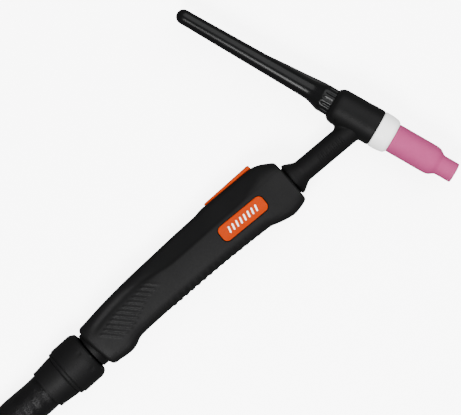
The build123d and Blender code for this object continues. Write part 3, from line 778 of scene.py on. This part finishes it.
# ---- Coil tie and plugs ----
def make_tie():
    """A woven strap round the bundle of turns, pulled tight over them."""
    centres = [(108, 13.4), (132, 12), (156, 12), (132, 36)]   # of the turns, outwards and above the bench
    angle = math.radians(-62)
    matrix = HANDLE @ Matrix.Translation((*COIL_CENTRE, BENCH)) @ Matrix.Rotation(angle, 4, "Z")
    count, rings = 144, []
    for thick, aside in ((0.5, -12.2), (2.1, -12.5), (2.4, -11.6), (2.4, 11.6), (2.1, 12.5), (0.5, 12.2)):
        ring = []
        for a in turns(count):
            x, z = max(centres, key=lambda c: c[0] * math.cos(a) + c[1] * math.sin(a))
            reach = CABLE_RADIUS + thick
            ring.append((x + reach * math.cos(a), aside, max(z + reach * math.sin(a), 2.4 - thick)))
        rings.append(ring)
    points = [p for ring in rings for p in ring]
    return make_object("tie_strap", points, skin_faces(len(rings), count, loop_across=True), matrix)


def boot_ribs(x, angle, radius):
    """Flexible segments of the boot: slits that alternate round it."""
    if radius < 12.8:
        return radius
    pitch = 3.6
    band = (x + 24) / pitch
    ring = 0.5 + 0.5 * math.cos(2 * math.pi * band)
    bridge = abs(math.cos(angle + math.pi / 2 * math.floor(band + 0.5)))
    gap = fade(ring, 0.75, 0.97) * fade(bridge, 0.25, 0.4)
    return radius - 0.9 * gap * fade(x, -24.5, -23) * (1 - fade(x, 1, 3))


def make_plug_pieces():
    """The boot with the lead's port, the power plug, and the control plug with its coupling ring."""
    boot = lathe("boot", [
        (-26, 12.1), (-26, 12.8), (-25.6, 13.2, 0.3), (0, 14.2), (3, 14.3, 1), (5, 15.0, 1), (9.2, 15.0, 0.5),
        (10, 14.4), (10, 4), (0.4, 4), (0.4, 12.1)], PLUG, around=96, step=0.6, shape=boot_ribs)
    port = PLUG @ Matrix.Translation((-10, 6, -9.5)) @ Matrix.Rotation(math.radians(40), 4, "Z")
    port_body = lathe("port", [
        (2, 2.85), (2, 4.2), (14, 4.2, 0.6), (16.4, 3.7, 0.5), (17, 3.3), (17, 2.85)], port, around=48)
    boolean(boot, port_body, "UNION", smooth_angle=40)
    body = lathe("plug_body", [
        (10.1, 4), (10.1, 14.6), (10.8, 15.3, 0.5), (14, 15.4), (50.8, 15.4, 0.6), (52, 14.4, 0.4),
        (52, 11.3, 0.3), (59.6, 11.2, 0.3), (60, 10.9), (60, 9.35), (48, 9.35), (48, 4)],
        PLUG, around=144, step=1.2, shape=plug_grooves)
    shell_piece = lathe("control_plug_body", [
        (-10, 2.85), (-10, 4.1), (-9.5, 4.6, 0.3), (-1.5, 4.6), (-1.0, 5.0, 0.3), (0, 7.4, 0.5),
        (1, 7.8, 0.5), (11.2, 7.8, 0.5), (12, 7.2), (12, 5.9), (24, 5.9), (24, 5.0), (14, 5.0), (14, 2.85)],
        CONTROL_PLUG, around=72, step=1.0, shape=gland_ribs)
    ring = lathe("control_plug_nut", [
        (12.4, 6.15), (12.4, 7.6), (13.0, 8.0, 0.3), (29.4, 8.0, 0.3), (30, 7.5), (30, 6.15)], CONTROL_PLUG,
        around=144, step=0.8, shape=knurl)
    return boot, body, shell_piece, ring


def plug_grooves(x, angle, radius):
    """Twelve grip grooves along the power plug."""
    wave = (0.5 + 0.5 * math.cos(12 * angle)) ** 3
    return radius - 0.8 * wave * fade(x, 17, 19) * (1 - fade(x, 43, 45)) if radius > 14 else radius


def gland_ribs(x, angle, radius):
    """Rings round the sleeve that holds the control lead."""
    if radius != 4.6 or x >= -1.5:
        return radius
    return radius - 0.3 * fade(math.cos(2 * math.pi * x / 2.4), 0.2, 0.9)


def knurl(x, angle, radius):
    """Thirty-six fine ridges along the coupling ring."""
    wave = 0.5 + 0.5 * math.cos(36 * angle)
    return radius - 0.28 * wave * fade(x, 13.6, 14.4) * (1 - fade(x, 26.6, 27.4)) if radius > 7 else radius


# ---- Materials ----
def value_range(nodes, links, factor, low, high):
    """A number that runs from low to high with a factor."""
    node = nodes.new("ShaderNodeMapRange")
    node.inputs["To Min"].default_value = low
    node.inputs["To Max"].default_value = high
    links.new(factor, node.inputs["Value"])
    return node.outputs["Result"]


def noise_at(nodes, links, place, scale, detail=3.0, stretch=None):
    """Noise of that many cells to a metre, stretched along an axis if wanted."""
    if stretch:
        mapping = nodes.new("ShaderNodeMapping")
        mapping.inputs["Scale"].default_value = stretch
        links.new(place, mapping.inputs["Vector"])
        place = mapping.outputs["Vector"]
    node = nodes.new("ShaderNodeTexNoise")
    node.inputs["Scale"].default_value = scale
    node.inputs["Detail"].default_value = detail
    links.new(place, node.inputs["Vector"])
    return node.outputs["Fac"]


def bumped(nodes, links, height, depth, before=None):
    """A bump of that depth in metres, added to the one before."""
    node = nodes.new("ShaderNodeBump")
    node.inputs["Distance"].default_value = depth
    links.new(height, node.inputs["Height"])
    if before:
        links.new(before, node.inputs["Normal"])
    return node.outputs["Normal"]


def surface(name, color, second, roughness, grains, mottle=60, metallic=0.0, specular=0.5, sheen=0.0,
            stretch=None, wear=0.0):
    """A material that runs softly between two colours, with its grain as bump.

    roughness is (low, high) and each grain is (cells to a metre, depth in metres). Wear lightens
    the edges that stand out."""
    material = bpy.data.materials.new(name)
    material.use_nodes = True
    nodes, links = material.node_tree.nodes, material.node_tree.links
    shader = nodes["Principled BSDF"]
    place = nodes.new("ShaderNodeTexCoord").outputs["Object"]
    cloud = noise_at(nodes, links, place, mottle, 4.0, stretch)
    mix = nodes.new("ShaderNodeMix")
    mix.data_type = "RGBA"
    mix.inputs["A"].default_value = (*color, 1)
    mix.inputs["B"].default_value = (*second, 1)
    links.new(cloud, mix.inputs["Factor"])
    tint = mix.outputs["Result"]
    if wear:
        pointed = nodes.new("ShaderNodeNewGeometry").outputs["Pointiness"]
        edge = nodes.new("ShaderNodeMapRange")
        edge.inputs["From Min"].default_value = 0.52
        edge.inputs["From Max"].default_value = 0.6
        edge.inputs["To Max"].default_value = wear
        links.new(pointed, edge.inputs["Value"])
        lighter = nodes.new("ShaderNodeMix")
        lighter.data_type = "RGBA"
        lighter.inputs["B"].default_value = (*[min(1.0, c * 1.6 + 0.02) for c in second], 1)
        links.new(edge.outputs["Result"], lighter.inputs["Factor"])
        links.new(tint, lighter.inputs["A"])
        tint = lighter.outputs["Result"]
    links.new(tint, shader.inputs["Base Color"])
    rough = noise_at(nodes, links, place, mottle * 2.3, 3.0, stretch)
    links.new(value_range(nodes, links, rough, *roughness), shader.inputs["Roughness"])
    normal = None
    for scale, depth in grains:
        normal = bumped(nodes, links, noise_at(nodes, links, place, scale, 2.0, stretch), depth, normal)
    if normal:
        links.new(normal, shader.inputs["Normal"])
    shader.inputs["Metallic"].default_value = metallic
    shader.inputs["Specular IOR Level"].default_value = specular
    shader.inputs["Sheen Weight"].default_value = sheen
    return material


def leather_jacket():
    """Black coated leather: fine cells, soft creases and a random mottle between two blacks."""
    material = surface("jacket_leather", (0.002, 0.002, 0.0021), (0.005, 0.005, 0.0052), (0.32, 0.5),
                       [(420, 0.0004), (1500, 0.0001)], mottle=90, specular=0.07)
    nodes, links = material.node_tree.nodes, material.node_tree.links
    place = nodes["Texture Coordinate"].outputs["Object"]
    cells = nodes.new("ShaderNodeTexVoronoi")
    cells.feature = "DISTANCE_TO_EDGE"
    cells.inputs["Scale"].default_value = 850
    links.new(place, cells.inputs["Vector"])
    shader = nodes["Principled BSDF"]
    before = shader.inputs["Normal"].links[0].from_socket
    links.new(bumped(nodes, links, cells.outputs["Distance"], 0.00018, before), shader.inputs["Normal"])
    return material


def woven_strap():
    """A black woven strap: two crossing waves of thread."""
    material = surface("strap_weave", (0.005, 0.005, 0.0055), (0.01, 0.01, 0.011), (0.75, 0.95),
                       [(900, 0.0001)], mottle=200, specular=0.2, sheen=0.04)
    nodes, links = material.node_tree.nodes, material.node_tree.links
    place = nodes["Texture Coordinate"].outputs["Object"]
    shader = nodes["Principled BSDF"]
    normal = shader.inputs["Normal"].links[0].from_socket
    for direction in ("X", "Y", "Z"):
        wave = nodes.new("ShaderNodeTexWave")
        wave.bands_direction = direction
        wave.inputs["Scale"].default_value = 140
        wave.inputs["Distortion"].default_value = 0.6
        links.new(place, wave.inputs["Vector"])
        normal = bumped(nodes, links, wave.outputs["Fac"], 0.00012, normal)
    links.new(normal, shader.inputs["Normal"])
    return material


def make_materials():
    """One finish for each of the record's slots."""
    black, black_2 = (0.0026, 0.0026, 0.0027), (0.0038, 0.0038, 0.0039)
    return {
        "handle_plastic": surface("handle_texture", black, black_2, (0.5, 0.62),
                                  [(3200, 0.00005), (900, 0.00003)], specular=0.09, wear=0.5),
        "head_mould": surface("head_mould_finish", black, black_2, (0.46, 0.58),
                              [(2600, 0.00003), (350, 0.00003)], specular=0.06),
        "cap_plastic": surface("cap_gloss", (0.0027, 0.0027, 0.0029), (0.0037, 0.0037, 0.0039), (0.2, 0.28),
                               [(90, 0.00003), (2400, 0.000006)], mottle=80, specular=0.08),
        "dark_plastic": surface("dark_satin", black, black_2, (0.5, 0.62),
                                [(2800, 0.00004), (500, 0.00003)], specular=0.075, wear=0.4),
        "orange_plastic": surface("orange_satin", (0.26, 0.02, 0.0), (0.3, 0.025, 0.0), (0.45, 0.58),
                                  [(2600, 0.00002)], mottle=110, specular=0.02),
        "grey_plastic": surface("grey_satin", (0.2, 0.2, 0.2), (0.28, 0.28, 0.28), (0.4, 0.55),
                                [(2600, 0.00003)]),
        "rubber": surface("black_rubber", (0.003, 0.003, 0.003), (0.0055, 0.0055, 0.0055), (0.6, 0.78),
                          [(2200, 0.00005), (300, 0.00008)], specular=0.15),
        "gasket_white": surface("fluoropolymer", (0.90, 0.90, 0.89), (0.94, 0.94, 0.93), (0.4, 0.55),
                                [(900, 0.00003), (150, 0.00008)], mottle=120),
        "alumina": surface("pink_alumina", (0.255, 0.036, 0.108), (0.285, 0.043, 0.124), (0.55, 0.7),
                           [(2600, 0.00005), (700, 0.00003)], mottle=220, specular=0.05),
        "copper": surface("machined_copper", (0.72, 0.31, 0.19), (0.58, 0.24, 0.14), (0.2, 0.38),
                          [(1500, 0.00002)], metallic=1.0, stretch=(6, 1, 1)),
        "brass": surface("machined_brass", (0.72, 0.5, 0.2), (0.6, 0.4, 0.14), (0.2, 0.36),
                         [(1400, 0.00002)], metallic=1.0, stretch=(1, 6, 1)),
        "tungsten": surface("ground_tungsten", (0.42, 0.42, 0.43), (0.3, 0.3, 0.31), (0.3, 0.45),
                            [(3000, 0.00002)], metallic=1.0, stretch=(8, 1, 1)),
        "steel": surface("plated_steel", (0.5, 0.5, 0.52), (0.38, 0.38, 0.4), (0.25, 0.4),
                         [(1800, 0.00002)], metallic=1.0),
        "nickel": surface("nickel_plate", (0.62, 0.6, 0.57), (0.5, 0.49, 0.47), (0.16, 0.3),
                          [(900, 0.00002)], metallic=1.0, wear=0.3),
        "jacket": leather_jacket(),
        "strap": woven_strap(),
    }


MATERIALS = make_materials()


def settle(piece, body, slot, *nodes):
    """Gives a new piece its finish, the body it rides on and the CAD nodes that it stands for."""
    piece.data.materials.append(MATERIALS[slot])
    if body:
        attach(piece, body)
    if nodes:
        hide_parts(*nodes)
    return piece


# ---- Putting the torch together ----
shell_left, shell_right = make_shells()
settle(shell_left, "handle", "handle_plastic", "shell_left")
settle(shell_right, "handle", "handle_plastic", "shell_right")
settle(make_badge(), "handle", "orange_plastic", "badge")
settle(make_badge_bars(), "handle", "gasket_white")
settle(make_trigger(), "trigger", "orange_plastic", "trigger")

socket_ring, collar, collar_rim, clamp_ring = make_swivel_pieces()
settle(socket_ring, "handle", "dark_plastic", "socket_ring")
settle(collar, "collar", "dark_plastic", "collar")
settle(collar_rim, "collar", "dark_plastic")
settle(clamp_ring, "collar", "dark_plastic", "clamp_ring")

settle(make_back_cap(), "back_cap", "cap_plastic", "back_cap")
settle(make_head_mould(), "handle", "head_mould", "head_mould")
gasket, cup = make_gasket_and_cup()
settle(gasket, "handle", "gasket_white", "cup_gasket")
settle(cup, "cup", "alumina", "cup")

boot, plug_body, control_plug, control_nut = make_plug_pieces()
settle(boot, "handle", "rubber", "end_boot")
settle(plug_body, "handle", "rubber", "power_plug_body")
settle(control_plug, "handle", "dark_plastic", "control_plug_shell")
settle(control_nut, "plug_ring", "nickel", "control_plug_ring")
tie = settle(make_tie(), "handle", "strap", "coil_tie")

settle(cable, None, "jacket", "cable_run", "cable_coil", "cable_tail")
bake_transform(cable)
settle(lead, "handle", "rubber", "control_lead")

SLOT_OF = {part["node"]: part["material_slot"] for part in frame["record"]["subparts"]}
for name, node in frame["nodes"].items():
    if not node.hide_render:
        node.data.materials.clear()
        node.data.materials.append(MATERIALS[SLOT_OF[name]])


# ---- Studio ----
def make_floor():
    """A pale floor, matt and luminous so that shadows on it stay faint.

    It lights and mirrors in nothing, as if black cards lay round the torch for the picture."""
    mesh = bpy.data.meshes.new("floor")
    mesh.from_pydata([(-4, -4, 0), (4, -4, 0), (4, 4, 0), (-4, 4, 0)], [], [(0, 1, 2, 3)])
    floor = bpy.data.objects.new("floor", mesh)
    floor.location.z = -0.0004
    floor.visible_diffuse = False
    floor.visible_glossy = False
    bpy.context.collection.objects.link(floor)
    material = surface("floor_finish", (0.93, 0.93, 0.93), (0.95, 0.95, 0.95), (0.8, 0.9), [], mottle=4,
                       specular=0.1)
    shader = material.node_tree.nodes["Principled BSDF"]
    shader.inputs["Emission Color"].default_value = (1, 1, 1, 1)
    shader.inputs["Emission Strength"].default_value = 5.5
    mesh.materials.append(material)


def soft_light(name, toward, elevation, distance, size, power):
    """A square soft light, at an angle round the torch (0 along +X, 90 along +Y) and above the floor."""
    data = bpy.data.lights.new(name, "AREA")
    data.shape = "SQUARE"
    data.size = size
    data.energy = power
    light = bpy.data.objects.new(name, data)
    turn, rise = math.radians(toward), math.radians(elevation)
    ahead = Vector((math.cos(turn) * math.cos(rise), math.sin(turn) * math.cos(rise), math.sin(rise)))
    offset = ahead * distance
    light.location = offset
    light.rotation_euler = (-offset).to_track_quat("-Z", "Y").to_euler()
    bpy.context.collection.objects.link(light)


def make_studio():
    """The floor, an even grey surrounding, a key light from below the picture and a fill from above it."""
    make_floor()
    world = bpy.data.worlds.new("studio")
    bpy.context.scene.world = world
    world.use_nodes = True
    background = world.node_tree.nodes["Background"]
    background.inputs["Color"].default_value = (1, 1, 1, 1)
    background.inputs["Strength"].default_value = 0.35
    soft_light("key", toward=-82, elevation=59, distance=1.2, size=0.45, power=31)
    soft_light("fill", toward=78, elevation=51, distance=1.3, size=1.4, power=38)


make_studio()
